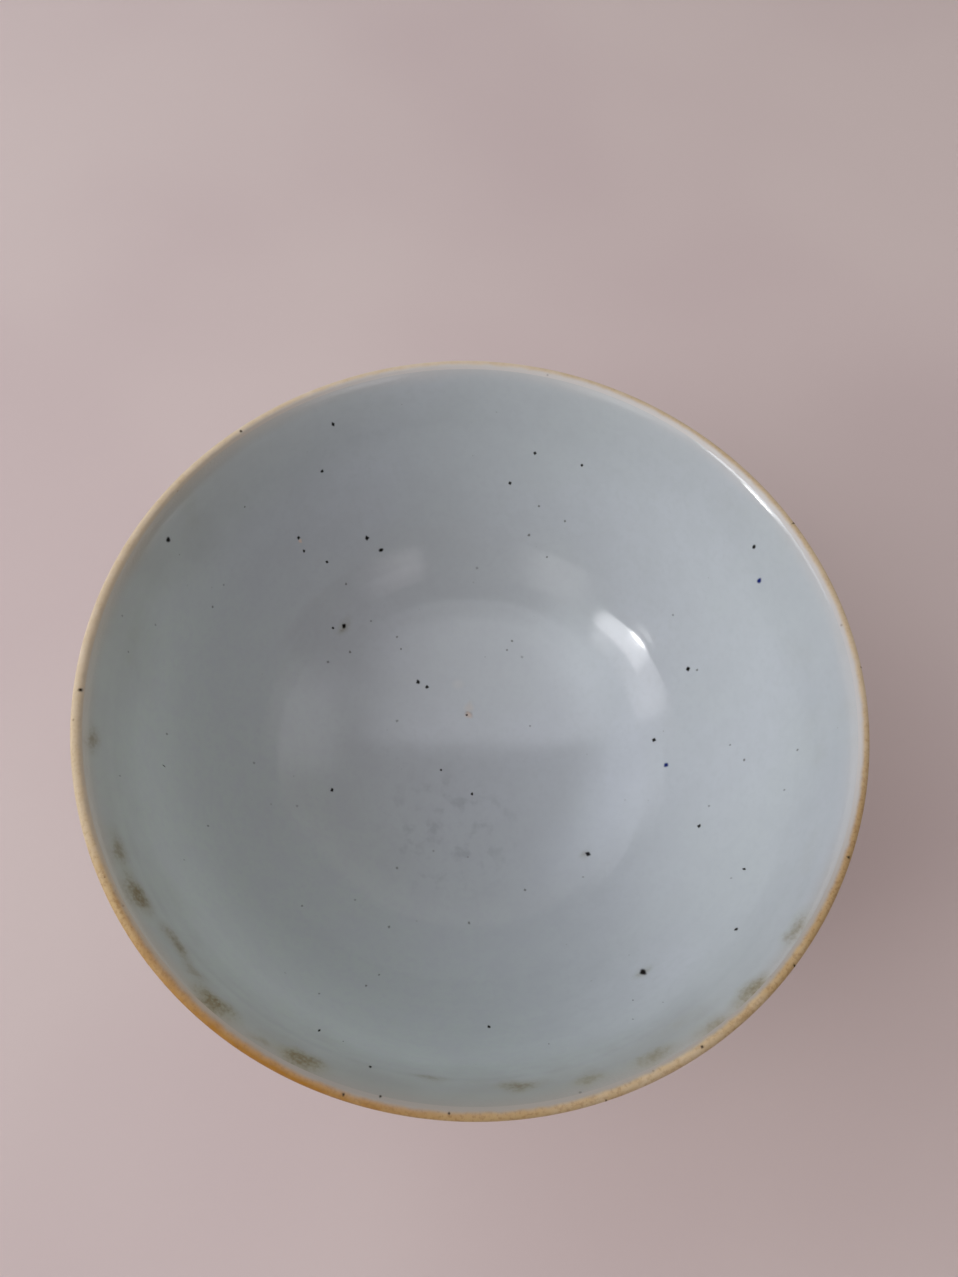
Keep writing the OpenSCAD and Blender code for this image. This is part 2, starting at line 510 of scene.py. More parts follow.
# One mark as a low dome of rings on the seen run; its stain fades to nothing at its edge
def markPatch(spot, stretch=1.0, strength=1.0, height=None, tilt=0.0, crisp=1.45):
    along, angle, distance = onInside(spot[0], spot[1])
    half = specks.halfWidth * spot[2] * pixelSize(distance)
    stretch = math.sqrt(stretch / seenShare(spot, along, angle))
    rings, around = specks.rings, specks.around
    rise = specks.height if height is None else height
    wobble = [markRandom.uniform(0.0, specks.wobble) for k in range(3)]
    phase = [markRandom.uniform(0, 2 * math.pi) for k in range(3)]
    uneven = [(i + 2, w, p) for i, (w, p) in enumerate(zip(wobble, phase))]
    points, stains, faces = [], [], []
    for ring in range(rings + 1):
        share = ring / rings
        for k in range(around if ring else 1):
            turn = 2 * math.pi * k / around
            reach = half * share * (1 + swings(uneven, turn))
            across = reach * math.cos(turn) / stretch
            down = reach * math.sin(turn) * stretch
            across, down = (
                across * math.cos(tilt) - down * math.sin(tilt),
                across * math.sin(tilt) + down * math.cos(tilt),
            )
            place = min(max(along + down, 0.0), seenAlong[-1])
            radius, z, outward, upward = seenAt(place)
            lift = specks.lift + rise * (1 - share ** 2) ** 2
            swing = angle + across / max(radius, 0.5)
            radius += outward * lift
            points.append((radius * math.cos(swing), radius * math.sin(swing), z + upward * lift))
            stains.append(strength * min(1.0, crisp * (1 - share)) ** specks.fade)
    for k in range(around):
        n = (k + 1) % around
        faces.append([0, 1 + k, 1 + n])
        for ring in range(1, rings):
            a = 1 + (ring - 1) * around
            b = a + around
            faces.append([a + k, b + k, b + n, a + n])
    return points, stains, faces


# Joins marks of one kind into one piece, with their stain and colour as attributes
def markPiece(name, patches, color):
    points, stains, faces = [], [], []
    for patchPoints, patchStains, patchFaces in patches:
        shift = len(points)
        points += patchPoints
        stains += patchStains
        faces += [[i + shift for i in face] for face in patchFaces]
    made = makeObject(name, points, faces, sharpAngle=80)
    stain = made.data.attributes.new("stain", "FLOAT", "POINT")
    stain.data.foreach_set("value", stains)
    tint = made.data.attributes.new("markColor", "FLOAT_COLOR", "POINT")
    tint.data.foreach_set("color", [c for i in range(len(points)) for c in (*color, 1.0)])
    return made


def makeMarks():
    draw = markRandom.uniform
    iron = [markPatch(s, stretch=draw(*specks.ironStretch), crisp=2.2) for s in specks.iron]
    iron += [markPatch(s, stretch=3.0, tilt=0.3) for s in specks.dash]
    faint = [
        markPatch((*s, draw(*specks.faintWidth)), strength=draw(*specks.faintStrength))
        for s in specks.faint
    ]
    cobalt = [markPatch(s, stretch=1.2, crisp=2.0) for s in specks.cobalt]
    lip = [markPatch(s) for s in specks.lip]
    grit = [markPatch(gritSpots.grit, strength=0.8, height=gritSpots.height)]
    grit.append(markPatch(gritSpots.chip, strength=0.9, crisp=2.0))
    pale = [markPatch(gritSpots.smear, stretch=0.7, strength=0.3, height=0.03)]
    pale.append(markPatch(gritSpots.flake, stretch=1.2, strength=0.75, height=0.08))
    dots = [markPatch(gritSpots.gritDot, height=gritSpots.dotHeight)]
    return [
        markPiece("ironSpecks", iron, specks.ironColor),
        markPiece("faintSpecks", faint, specks.faintColor),
        markPiece("cobaltSpecks", cobalt, specks.cobaltColor),
        markPiece("lipSpecks", lip, specks.lipColor),
        markPiece("kilnGrit", grit, gritSpots.gritColor),
        markPiece("paleMarks", pale, gritSpots.paleColor),
        markPiece("gritDots", dots, gritSpots.dotColor),
    ]


marks = makeMarks()
print("marks in the glaze:", ", ".join(m.name for m in marks))


# Sets a node's inputs by name or number; an input is a value or a socket
def setInputs(tree, node, inputs):
    for name, value in inputs.items():
        if isinstance(value, bpy.types.NodeSocket):
            tree.links.new(value, node.inputs[name])
        else:
            node.inputs[name].default_value = value


def addNode(tree, kind, inputs=None, **settings):
    made = tree.nodes.new(kind)
    for name, value in settings.items():
        setattr(made, name, value)
    setInputs(tree, made, inputs or {})
    return made


def mathNode(tree, operation, first, second=0.0, clamp=False):
    inputs = {0: first, 1: second}
    return addNode(tree, "ShaderNodeMath", inputs, operation=operation, use_clamp=clamp).outputs[0]


def times(tree, first, second):
    return mathNode(tree, "MULTIPLY", first, second)


def plus(tree, first, second, clamp=False):
    return mathNode(tree, "ADD", first, second, clamp)


def minus(tree, first, second):
    return mathNode(tree, "SUBTRACT", first, second)


def vectorNode(tree, operation, first, second):
    made = addNode(tree, "ShaderNodeVectorMath", {0: first, 1: second}, operation=operation)
    return made.outputs["Value" if operation in ("DISTANCE", "DOT_PRODUCT") else "Vector"]


def axesOf(tree, vector):
    return addNode(tree, "ShaderNodeSeparateXYZ", {"Vector": vector}).outputs


# Two colours mixed by a factor; the mix node's colours are its inputs 6 and 7
def mixColor(tree, below, above, factor):
    below, above = [c if isinstance(c, bpy.types.NodeSocket) else (*c, 1.0) for c in (below, above)]
    return addNode(tree, "ShaderNodeMix", {0: factor, 6: below, 7: above}, data_type="RGBA").outputs[2]


# A colour laid over another where a mask is, to a share of its strength
def layColor(tree, below, above, mask, share):
    return mixColor(tree, below, above, times(tree, mask, share))


def smoothBetween(tree, value, low, high):
    inputs = {"Value": value, "From Min": low, "From Max": high, "To Min": 0.0, "To Max": 1.0}
    made = addNode(tree, "ShaderNodeMapRange", inputs, interpolation_type="SMOOTHSTEP")
    return made.outputs["Result"]


def noiseValue(tree, vector, scale, detail=2.0):
    inputs = {"Vector": vector, "Scale": scale, "Detail": detail}
    return addNode(tree, "ShaderNodeTexNoise", inputs).outputs["Fac"]


# A noise as a swing to both sides of zero
def swingOf(tree, noise, reach):
    return times(tree, times(tree, minus(tree, noise, 0.5), reach), 2.0)


# Patches of noise between two of its levels
def patchMask(tree, vector, scale, detail, low, high):
    return smoothBetween(tree, noiseValue(tree, vector, scale, detail), low, high)


# A shader group, as its tree, the sockets that it is given and those of its results; an input without
# a value is a vector
def newGroup(name, inputs, outputs):
    tree = bpy.data.node_groups.new(name, "ShaderNodeTree")
    for label, value in inputs.items():
        kind = "NodeSocketVector" if value is None else "NodeSocketFloat"
        socket = tree.interface.new_socket(label, in_out="INPUT", socket_type=kind)
        if value is not None:
            socket.default_value = value
    for label in outputs:
        tree.interface.new_socket(label, in_out="OUTPUT", socket_type="NodeSocketFloat")
    return tree, tree.nodes.new("NodeGroupInput").outputs, tree.nodes.new("NodeGroupOutput").inputs


def useGroup(tree, group, inputs):
    return addNode(tree, "ShaderNodeGroup", inputs, node_tree=group)


# Levels, shares and scales within the shader groups
groupSet = SimpleNamespace(
    cloudLevels=(0.32, 0.68),
    finerTimes=4.0,
    finerShare=0.12,
    leastSize=0.4,
    dotCore=0.3,
    leastStrength=0.25,
    warpScale=170.0,
    warpReach=0.0035,
    flatten=1.9,
    grainScale=1700.0,
    grainSpread=0.55,
    grainLevels=(0.35, 0.95),
)


# Slow clouds of colour, and the fine unevenness of a melted glaze
def glazeCloudGroup():
    inputs = {"Vector": None, "Cloud Scale": 45.0, "Peel Scale": 420.0}
    tree, given, result = newGroup("glazeCloud", inputs, ["Cloud", "Height", "Sheen"])
    slow = noiseValue(tree, given["Vector"], given["Cloud Scale"], detail=3.0)
    fine = noiseValue(tree, given["Vector"], given["Peel Scale"], detail=1.0)
    finerScale = times(tree, given["Peel Scale"], groupSet.finerTimes)
    finer = noiseValue(tree, given["Vector"], finerScale)
    tree.links.new(smoothBetween(tree, slow, *groupSet.cloudLevels), result["Cloud"])
    height = plus(tree, fine, times(tree, finer, groupSet.finerShare))
    tree.links.new(height, result["Height"])
    tree.links.new(finer, result["Sheen"])
    return tree


# Tiny iron flecks: a dot in a few cells of a scattered pattern
def ironPepperGroup():
    inputs = {"Vector": None, "Scale": 330.0, "Share": 0.3, "Size": 0.07}
    tree, given, result = newGroup("ironPepper", inputs, ["Mask"])
    inputs = {"Vector": given["Vector"], "Scale": given["Scale"]}
    cells = addNode(tree, "ShaderNodeTexVoronoi", inputs)
    chance = addNode(tree, "ShaderNodeSeparateColor", {"Color": cells.outputs["Color"]})
    kept = mathNode(tree, "LESS_THAN", chance.outputs["Red"], given["Share"])
    size = plus(tree, chance.outputs["Green"], groupSet.leastSize)
    size = times(tree, given["Size"], size)
    core = times(tree, size, groupSet.dotCore)
    dot = smoothBetween(tree, cells.outputs["Distance"], size, core)
    least = groupSet.leastStrength
    faint = plus(tree, times(tree, chance.outputs["Blue"], 1 - least), least)
    dot = times(tree, dot, kept)
    tree.links.new(times(tree, dot, faint), result["Mask"])
    return tree


# A band along the lip: 1 from the outer edge in to a wavering line
def lipBandGroup():
    inputs = {
        "Vector": None,
        "Rim Radius": rimRadius * mm,
        "Edge": 0.0015,
        "Softness": 0.0002,
        "Waver": 0.0004,
        "Waver Scale": 90.0,
    }
    tree, given, result = newGroup("lipBand", inputs, ["Mask"])
    flat = vectorNode(tree, "MULTIPLY", given["Vector"], (1.0, 1.0, 0.0))
    radius = vectorNode(tree, "DISTANCE", flat, (0.0, 0.0, 0.0))
    inward = minus(tree, given["Rim Radius"], radius)
    ripple = noiseValue(tree, given["Vector"], given["Waver Scale"], detail=4.0)
    line = plus(tree, inward, swingOf(tree, ripple, given["Waver"]))
    outer = plus(tree, given["Edge"], given["Softness"])
    inner = minus(tree, given["Edge"], given["Softness"])
    tree.links.new(smoothBetween(tree, line, outer, inner), result["Mask"])
    return tree


# How thick the iron wash lies round the rim, how far in it reaches, and how strongly the olive tint and
# painted shade lie below it
def washGroup(thickStops, reachStops, oliveAndPaintedShadeStops):
    inputs = {"Vector": None, "Mottle": 0.17, "Mottle Scale": 480.0}
    tree, given, result = newGroup("ironWash", inputs, ["Thickness", "Reach", "Olive And Painted Shade"])
    x, y, z = axesOf(tree, given["Vector"])
    angle = mathNode(tree, "ARCTAN2", y, x)
    turns = plus(tree, mathNode(tree, "DIVIDE", angle, 2 * math.pi), 0.5)
    ramps = []
    for stops in (thickStops, reachStops, oliveAndPaintedShadeStops):
        ramp = addNode(tree, "ShaderNodeValToRGB", {"Fac": turns})
        while len(ramp.color_ramp.elements) < len(stops):
            ramp.color_ramp.elements.new(0.5)
        for element, (place, value) in zip(ramp.color_ramp.elements, stops):
            element.position = place
            element.color = (value, value, value, 1)
        ramps.append(ramp.outputs["Color"])
    mottle = noiseValue(tree, given["Vector"], given["Mottle Scale"], detail=6.0)
    total = plus(tree, ramps[0], swingOf(tree, mottle, given["Mottle"]), clamp=True)
    tree.links.new(total, result["Thickness"])
    tree.links.new(times(tree, ramps[1], 2.0 * mm), result["Reach"])
    tree.links.new(ramps[2], result["Olive And Painted Shade"])
    return tree


# A stain round a point, where the glaze has pooled: a soft halo that breaks up into grains
def glazePoolGroup():
    inputs = {"Vector": None, "Centre": None, "Radius": 0.003}
    tree, given, result = newGroup("glazePool", inputs, ["Halo", "Grains"])
    place = given["Vector"]
    inputs = {"Vector": place, "Scale": groupSet.warpScale, "Detail": 4.0}
    warp = addNode(tree, "ShaderNodeTexNoise", inputs).outputs["Color"]
    warp = vectorNode(tree, "SUBTRACT", warp, (0.5, 0.5, 0.5))
    warp = vectorNode(tree, "MULTIPLY", warp, [groupSet.warpReach] * 3)
    off = vectorNode(tree, "ADD", place, warp)
    off = vectorNode(tree, "SUBTRACT", off, given["Centre"])
    flat = vectorNode(tree, "MULTIPLY", off, (1.0, 1.0, groupSet.flatten))
    far = vectorNode(tree, "DISTANCE", flat, (0.0, 0.0, 0.0))
    soft = smoothBetween(tree, far, given["Radius"], 0.0)
    grain = noiseValue(tree, place, groupSet.grainScale, detail=8.0)
    inner = times(tree, minus(tree, soft, 0.5), groupSet.grainSpread)
    grains = smoothBetween(tree, plus(tree, grain, inner), *groupSet.grainLevels)
    tree.links.new(soft, result["Halo"])
    tree.links.new(times(tree, soft, grains), result["Grains"])
    return tree


# Thickness of the wash, half its reach in millimetres and the strength of the olive tint and painted
# shade below it, at turns from the left by the front, right and back
washThick = [
    (0.0, 0.22), (0.06, 0.34), (0.11, 0.74), (0.17, 1.0), (0.22, 0.82), (0.28, 0.48), (0.33, 0.40),
    (0.39, 0.56), (0.44, 0.66), (0.5, 0.28), (0.55, 0.35), (0.61, 0.36), (0.67, 0.28), (0.75, 0.19),
    (0.86, 0.22), (0.94, 0.26), (1.0, 0.22),
]
washReach = [
    (0.0, 0.65), (0.06, 0.66), (0.17, 0.61), (0.22, 0.56), (0.28, 0.54), (0.33, 0.58), (0.39, 0.55),
    (0.44, 0.48), (0.5, 0.50), (0.61, 0.59), (0.67, 0.60), (0.75, 0.55), (0.87, 0.52), (0.94, 0.59),
    (1.0, 0.65),
]
lipOliveAndPaintedShade = [
    (0.0, 0.59), (0.06, 0.63), (0.11, 0.73), (0.17, 0.84), (0.22, 1.0), (0.28, 1.0), (0.33, 0.77),
    (0.39, 0.52), (0.44, 0.52), (0.5, 0.48), (0.56, 0.32), (0.61, 0.2), (0.67, 0.05), (0.78, 0.0),
    (0.83, 0.16), (0.89, 0.5), (0.94, 0.71), (1.0, 0.59),
]
glazeCloud = glazeCloudGroup()
ironPepper = ironPepperGroup()
lipBand = lipBandGroup()
ironWash = washGroup(washThick, washReach, lipOliveAndPaintedShade)
glazePool = glazePoolGroup()
print("shader groups: cloud, pepper, lip band, wash, pool")

# Greenish-brown pools under the near lip and round three specks, as (x, y, width, strength) in pixels
# of the photograph
poolSpots = [
    (94, 741, 26, 0.45), (118, 850, 34, 0.55), (137, 895, 40, 0.9), (176, 944, 34, 0.6),
    (196, 972, 26, 0.35), (212, 1002, 40, 0.95), (258, 1040, 22, 0.3), (302, 1060, 42, 0.85),
    (432, 1079, 30, 0.3), (523, 1085, 36, 0.6), (591, 1078, 30, 0.4), (655, 1053, 34, 0.4),
    (714, 1024, 34, 0.45), (749, 992, 34, 0.8), (795, 928, 30, 0.5), (344, 626, 13, 0.4),
    (588, 854, 12, 0.3), (643, 972, 17, 0.35),
]

# Finishes: a noise is (scale, detail, low level, high level), a band is (edge, softness, waver) in
# millimetres in from the lip, a share is how strongly a colour is laid, and a side fades between places
glaze = SimpleNamespace(
    body=(0.515, 0.54, 0.568),
    cloud=(0.505, 0.535, 0.548),
    mottle=(0.48, 0.505, 0.525),
    green=(0.50, 0.553, 0.53),
    # Below the lip the olive colour is a tint with painted shade in it, and the grey colour is painted
    # shade on the right
    oliveAndPaintedShade=(0.30, 0.305, 0.28),
    greyPaintedShade=(0.36, 0.375, 0.40),
    thin=(0.50, 0.475, 0.46),
    thinWarm=(0.44, 0.37, 0.29),
    # The thin margin is darker in front by painted shade and paler at the back by painted light
    thinFrontPaintedShade=(0.36, 0.325, 0.29),
    thinBackPaintedLight=(0.62, 0.58, 0.55),
    pool=(0.265, 0.245, 0.14),
    poolCore=(0.155, 0.105, 0.035),
    pepper=(0.10, 0.09, 0.075),
    greenWay=(-0.8, -0.6, 0.0),
    greenSide=(-0.005, 0.04),
    greySide=(0.02, 0.05),
    leftSide=(0.03, -0.03),
    frontSide=(-0.005, -0.035),
    frontAcross=(-0.045, -0.015),
    backSide=(0.005, 0.04),
    backAcross=(-0.05, -0.01),
    mottleNoise=(210.0, 6.0, 0.35, 0.7),
    mottleShare=0.5,
    fineNoise=(900.0, 5.0, 0.4, 0.75),
    fineShare=0.6,
    smearNoise=(150.0, 6.0, 0.5, 0.75),
    smearShare=0.25,
    # The band below the lip where the olive tint and painted shade are laid
    oliveAndPaintedShadeBand=(4.6, 3.0, 1.6),
    thinSoftness=0.9,
    thinWaver=0.5,
    marginShare=0.6,
    poolSpread=1.95,
    haloShare=0.75,
    pepperShare=0.55,
    fleckShare=0.85,
    washMatt=0.7,
    markMatt=0.85,
    roughness=0.27,
    roughnessSwing=0.1,
    coatRoughness=0.1,
    bump=0.18,
    bumpDepth=0.00006,
    pitting=5.0,
    pittingBand=(2.4, 0.8, 0.3),
    pittingScale=2600.0,
    ior=1.5,
    specular=0.0,
)

# Dull wear in the well, in metres
wearSpot = SimpleNamespace(
    centre=(-0.003, -0.012, floorZ * mm),
    radius=0.016,
    color=(0.31, 0.32, 0.34),
    strength=0.38,
    core=0.3,
    streakNoise=(420.0, 8.0, 0.5, 0.72),
)

# The wash: straw, ochre and brown each come in between two of its thicknesses, as what ends in From
# does; its edge line is (softness, waver, scale)
wash = SimpleNamespace(
    cream=(0.68, 0.57, 0.44),
    straw=((0.60, 0.47, 0.31), (0.08, 0.32)),
    ochre=((0.50, 0.34, 0.16), (0.3, 0.62)),
    brown=((0.33, 0.145, 0.015), (0.6, 1.0)),
    edge=(0.27, 0.14, 0.05),
    bleed=(0.42, 0.26, 0.13),
    pepper=(0.10, 0.05, 0.02),
    bleedFrom=(0.35, 0.8),
    grainFrom=(0.1, 0.7),
    wornFrom=(0.25, 0.6),
    edgeLine=(0.3, 0.22, 620.0),
    bleedWidth=0.45,
    bleedShare=0.6,
    grainNoise=(2300.0, 6.0, 0.46, 0.66),
    grainShare=0.5,
    wornBand=(0.3, 0.3, 0.3, 200.0),
    wornShare=0.12,
    pepperShare=0.6,
    roughness=0.34,
    roughnessSwing=0.16,
    specular=0.12,
    bump=0.35,
    bumpDepth=0.00008,
)

clay = SimpleNamespace(
    body=(0.66, 0.60, 0.50),
    dark=(0.52, 0.43, 0.32),
    burnt=(0.50, 0.30, 0.16),
    burntNoise=(70.0, 4.0, 0.52, 0.72),
    burntShare=0.5,
    pepperShare=0.6,
    roughness=0.68,
    roughnessSwing=0.2,
    specular=0.5,
    bump=0.5,
    bumpDepth=0.00015,
)


def newMaterial(name):
    made = bpy.data.materials.new(name)
    made.use_nodes = True
    tree = made.node_tree
    shader = tree.nodes["Principled BSDF"]
    place = addNode(tree, "ShaderNodeTexCoord").outputs["Object"]
    return made, tree, shader, place


# A mask along the lip, from its outer edge in to a line, in millimetres unless the line is a socket
def lipMask(tree, place, edge, softness, waver, waverScale=90.0):
    inputs = {
        "Vector": place,
        "Edge": edge if isinstance(edge, bpy.types.NodeSocket) else edge * mm,
        "Softness": softness * mm,
        "Waver": waver * mm,
        "Waver Scale": waverScale,
    }
    return useGroup(tree, lipBand, inputs).outputs["Mask"]


def pepperMask(tree, place, **values):
    return useGroup(tree, ironPepper, {"Vector": place, **values}).outputs["Mask"]


# Colour of the wash, and the mask of where it lies: grainy, and redder where it bleeds into the glaze
def washColor(tree, place):
    rimWash = useGroup(tree, ironWash, {"Vector": place}).outputs
    thick = rimWash["Thickness"]
    color = wash.cream
    for shade, span in (wash.straw, wash.ochre, wash.brown):
        color = mixColor(tree, color, shade, smoothBetween(tree, thick, *span))
    laid = lipMask(tree, place, rimWash["Reach"], *wash.edgeLine)
    inset = minus(tree, rimWash["Reach"], wash.bleedWidth * mm)
    core = lipMask(tree, place, inset, *wash.edgeLine)
    bleed = minus(tree, 1.0, core)
    bleed = times(tree, bleed, smoothBetween(tree, thick, *wash.bleedFrom))
    color = layColor(tree, color, wash.bleed, bleed, wash.bleedShare)
    grain = patchMask(tree, place, *wash.grainNoise)
    grain = times(tree, grain, smoothBetween(tree, thick, *wash.grainFrom))
    color = layColor(tree, color, wash.edge, grain, wash.grainShare)
    return color, laid


# Gives a shader its colour, its specular level, its uneven roughness and its bump
def finishShader(tree, shader, color, clouds, height, finish):
    sheen = times(tree, clouds.outputs["Sheen"], finish.roughnessSwing)
    inputs = {"Height": height, "Strength": finish.bump, "Distance": finish.bumpDepth}
    values = {
        "Base Color": color,
        "Specular IOR Level": finish.specular,
        "Roughness": plus(tree, sheen, finish.roughness),
        "Normal": addNode(tree, "ShaderNodeBump", inputs).outputs["Normal"],
    }
    setInputs(tree, shader, values)


# The clouded and mottled body of a glaze, greener on the near left
def bodyColor(tree, place, clouds):
    color = mixColor(tree, glaze.body, glaze.cloud, clouds.outputs["Cloud"])
    near = vectorNode(tree, "DOT_PRODUCT", place, glaze.greenWay)
    color = mixColor(tree, color, glaze.green, smoothBetween(tree, near, *glaze.greenSide))
    mottle = patchMask(tree, place, *glaze.mottleNoise)
    color = layColor(tree, color, glaze.mottle, mottle, glaze.mottleShare)
    fine = patchMask(tree, place, *glaze.fineNoise)
    return layColor(tree, color, glaze.mottle, fine, glaze.fineShare)


# Streaks of wear in the middle of the well
def wornColor(tree, place, color):
    out = vectorNode(tree, "DISTANCE", place, wearSpot.centre)
    worn = smoothBetween(tree, out, wearSpot.radius, wearSpot.core * wearSpot.radius)
    streaks = patchMask(tree, place, *wearSpot.streakNoise)
    worn = times(tree, worn, streaks)
    return layColor(tree, color, wearSpot.color, worn, wearSpot.strength)


# Painted shade below the lip, olive-tinted on the left and in front and grey on the right, and the thin
# margin above it
def marginColor(tree, place, color, thinEdge):
    across = axesOf(tree, place)["X"]
    oliveAndPaintedShadeZone = lipMask(tree, place, *glaze.oliveAndPaintedShadeBand)
    oliveAndPaintedShadeMask = useGroup(tree, ironWash, {"Vector": place}).outputs["Olive And Painted Shade"]
    oliveAndPaintedShadeZone = times(tree, oliveAndPaintedShadeZone, oliveAndPaintedShadeMask)
    side = smoothBetween(tree, across, *glaze.greySide)
    # Painted shade: olive on the left and in front, grey on the right
    shade = mixColor(tree, glaze.oliveAndPaintedShade, glaze.greyPaintedShade, side)
    color = mixColor(tree, color, shade, oliveAndPaintedShadeZone)
    smear = patchMask(tree, place, *glaze.smearNoise)
    smear = times(tree, smear, oliveAndPaintedShadeZone)
    color = layColor(tree, color, glaze.pool, smear, glaze.smearShare)
    thin = lipMask(tree, place, thinEdge, glaze.thinSoftness, glaze.thinWaver)
    return layColor(tree, color, thinAndPaintedLightColor(tree, place), thin, glaze.marginShare)


# Pools of glaze, each with a halo and grains, where the photograph shows them
def pooledColor(tree, place, color, pools):
    for x, y, width, strength in pools:
        along, angle, distance = onInside(x, y)
        radius, z = seenAt(along)[:2]
        inputs = {
            "Vector": place,
            "Centre": (radius * math.cos(angle) * mm, radius * math.sin(angle) * mm, z * mm),
            "Radius": 0.5 * width * pixelSize(distance) * mm * glaze.poolSpread,
        }
        pooled = useGroup(tree, glazePool, inputs)
        halo = glaze.haloShare * strength
        color = layColor(tree, color, glaze.pool, pooled.outputs["Halo"], halo)
        color = layColor(tree, color, glaze.poolCore, pooled.outputs["Grains"], strength)
    return color


# A glaze: clouded body, thin warm margin and a trace of wash at the lip, flecks, and marks on the inside
def glazeMaterial(name, thinEdge, pools):
    made, tree, shader, place = newMaterial(name)
    clouds = useGroup(tree, glazeCloud, {"Vector": place})
    color = bodyColor(tree, place, clouds)
    height = clouds.outputs["Height"]
    matt = 0.0
    if pools:
        color = wornColor(tree, place, color)
    # At the lip: painted shade below it, and painted light and shade on its thin margin
    if thinEdge:
        color = marginColor(tree, place, color, thinEdge)
    color = pooledColor(tree, place, color, pools)
    if thinEdge:
        washed, laid = washColor(tree, place)
        color = mixColor(tree, color, washed, laid)
        matt = times(tree, laid, glaze.washMatt)
        pitted = lipMask(tree, place, *glaze.pittingBand)
        pitted = times(tree, pitted, glaze.pitting)
        pits = noiseValue(tree, place, glaze.pittingScale, detail=3.0)
        height = plus(tree, height, times(tree, pitted, pits))
    pepper = pepperMask(tree, place)
    color = layColor(tree, color, glaze.pepper, pepper, glaze.pepperShare)
    if not pools:
        flecks = pepperMask(tree, place, Scale=240.0, Share=0.25, Size=0.09)
        color = layColor(tree, color, specks.ironColor, flecks, glaze.fleckShare)
    stain = addNode(tree, "ShaderNodeAttribute", attribute_name="stain").outputs["Fac"]
    tint = addNode(tree, "ShaderNodeAttribute", attribute_name="markColor").outputs["Color"]
    color = mixColor(tree, color, tint, stain)
    matt = mathNode(tree, "MAXIMUM", matt, times(tree, stain, glaze.markMatt))
    coating = {"Coat Weight": minus(tree, 1.0, matt), "Coat Roughness": glaze.coatRoughness}
    setInputs(tree, shader, {"IOR": glaze.ior, **coating})
    finishShader(tree, shader, color, clouds, height, glaze)
    return made


# The thin glaze along the lip is warmer on the left, with painted shade that darkens it in front and
# painted light that makes it paler at the back
def thinAndPaintedLightColor(tree, place):
    x, y, z = axesOf(tree, place)
    left = smoothBetween(tree, x, *glaze.leftSide)
    front = smoothBetween(tree, y, *glaze.frontSide)
    back = smoothBetween(tree, y, *glaze.backSide)
    color = mixColor(tree, glaze.thin, glaze.thinWarm, left)
    front = times(tree, front, smoothBetween(tree, x, *glaze.frontAcross))
    color = mixColor(tree, color, glaze.thinFrontPaintedShade, front)
    back = times(tree, back, smoothBetween(tree, x, *glaze.backAcross))
    return mixColor(tree, color, glaze.thinBackPaintedLight, back)


# The iron wash on the lip, paler where it lies thin and shows the thin glaze with its painted light and
# shade, with dark flecks
def dressingMaterial():
    made, tree, shader, place = newMaterial("ironDressing")
    color = mixColor(tree, thinAndPaintedLightColor(tree, place), *washColor(tree, place))
    worn = lipMask(tree, place, *wash.wornBand)
    thick = useGroup(tree, ironWash, {"Vector": place}).outputs["Thickness"]
    worn = times(tree, worn, smoothBetween(tree, thick, *wash.wornFrom))
    color = layColor(tree, color, wash.edge, worn, wash.wornShare)
    pepper = pepperMask(tree, place, Scale=700.0, Share=0.16, Size=0.16)
    color = layColor(tree, color, wash.pepper, pepper, wash.pepperShare)
    clouds = useGroup(tree, glazeCloud, {"Vector": place, "Peel Scale": 900.0})
    finishShader(tree, shader, color, clouds, clouds.outputs["Height"], wash)
    return made


# Bare fired clay at the foot: fine grain, rubbed and a little scorched
def clayMaterial():
    made, tree, shader, place = newMaterial("bareClay")
    clouds = useGroup(tree, glazeCloud, {"Vector": place, "Cloud Scale": 160.0, "Peel Scale": 1800.0})
    color = mixColor(tree, clay.body, clay.dark, clouds.outputs["Cloud"])
    scorch = patchMask(tree, place, *clay.burntNoise)
    color = layColor(tree, color, clay.burnt, scorch, clay.burntShare)
    pepper = pepperMask(tree, place, Scale=900.0, Share=0.4, Size=0.2)
    color = layColor(tree, color, glaze.pepper, pepper, clay.pepperShare)
    finishShader(tree, shader, color, clouds, clouds.outputs["Height"], clay)
    return made


def giveMaterial(piece, material):
    piece.data.materials.clear()
    piece.data.materials.append(material)


insideFinish = glazeMaterial("insideGlazeFinish", thinEdge=2.1, pools=poolSpots)
giveMaterial(insideGlaze, insideFinish)
giveMaterial(outsideGlaze, glazeMaterial("outsideGlazeFinish", thinEdge=1.9, pools=[]))
giveMaterial(baseGlaze, glazeMaterial("baseGlazeFinish", thinEdge=None, pools=[]))
giveMaterial(rimDressing, dressingMaterial())
giveMaterial(clayBody, clayMaterial())
for mark in marks:
    giveMaterial(mark, insideFinish)
print("materials: three glazes, iron dressing, bare clay")


# Each piece moves with the one body and stands for its solid
standsFor = [
    (clayBody, "porcelain_body", "porcelain"),
    (insideGlaze, "inside_glaze", "inside_glaze"),
    (outsideGlaze, "outside_glaze", "outside_glaze"),
    (baseGlaze, "base_glaze", "base_glaze"),
    (rimDressing, "rim_dressing", "rim_dressing"),
]
for piece, node, slot in standsFor:
    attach(piece, "root")
    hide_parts(node)
for mark in marks:
    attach(mark, "root")

# A plain pale floor
floorFinish = SimpleNamespace(
    size=3.0,
    body=(0.66, 0.545, 0.52),
    shade=(0.62, 0.50, 0.485),
    shadeNoise=(9.0, 2.0, 0.35, 0.65),
    roughness=0.9,
)


